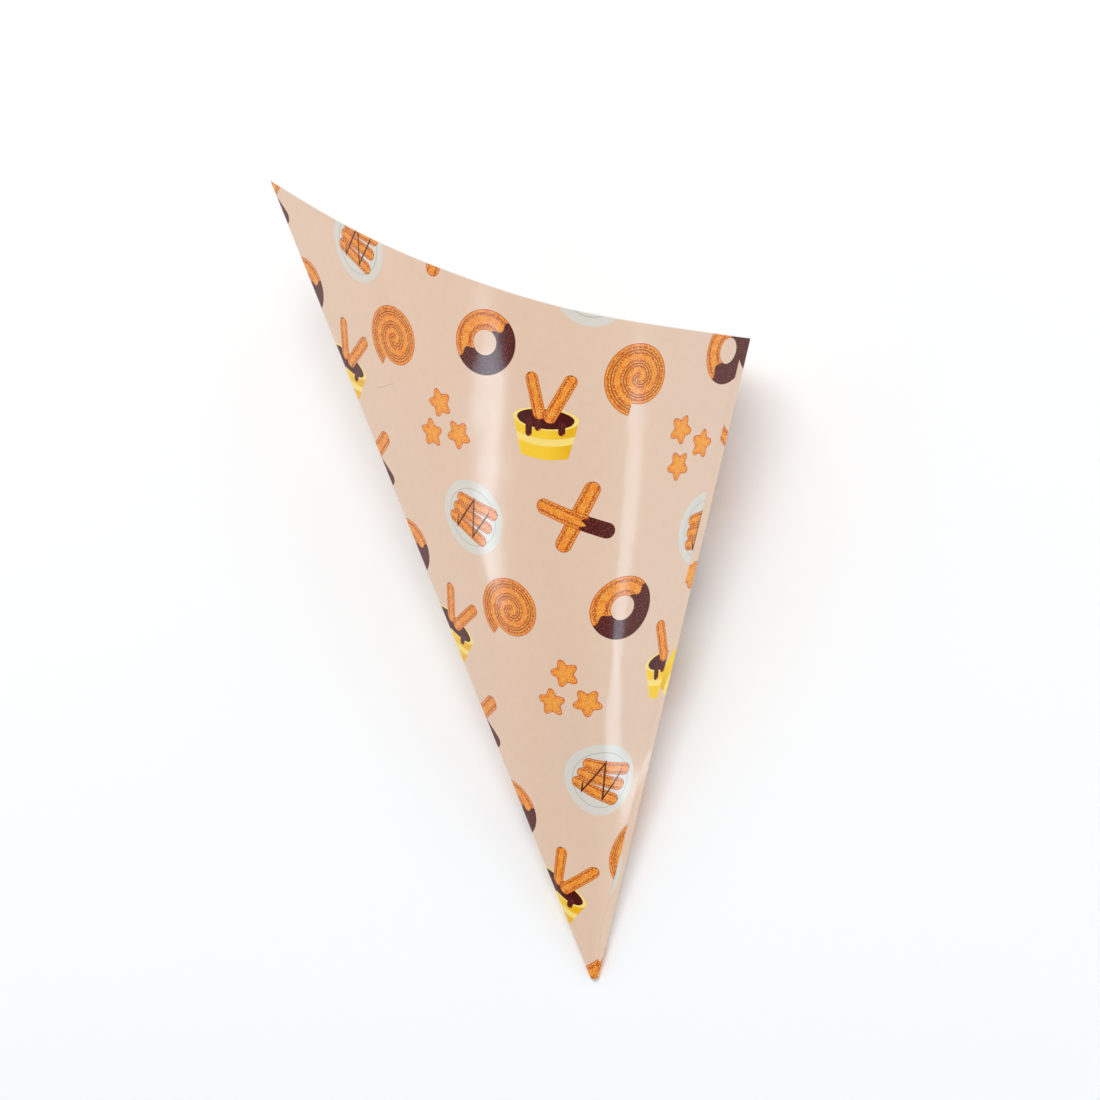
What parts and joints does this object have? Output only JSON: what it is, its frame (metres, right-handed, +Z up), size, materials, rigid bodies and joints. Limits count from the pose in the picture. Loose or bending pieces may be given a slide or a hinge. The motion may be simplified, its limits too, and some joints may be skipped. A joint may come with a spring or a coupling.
{
  "type": "churro cone",
  "caption": "Paper cone for fried snacks: a glossy printed sheet folded to a tall spike, closed by a glued lap, open at the mouth.",
  "frame": {"origin": "centre of the bounding box's base, on the surface that the cone lies on", "axes": "+Y along the cone from its point to its mouth, +X from the spiked fold towards the seam fold, +Z up from the flat strip of the back to the front panel"},
  "size_m": [0.1556, 0.2696, 0.0883],
  "materials": {
    "paper_cone": "glossy printed card"
  },
  "bodies": {
    "root": {"paper_cone": "paper_cone"}
  },
  "joints": []
}
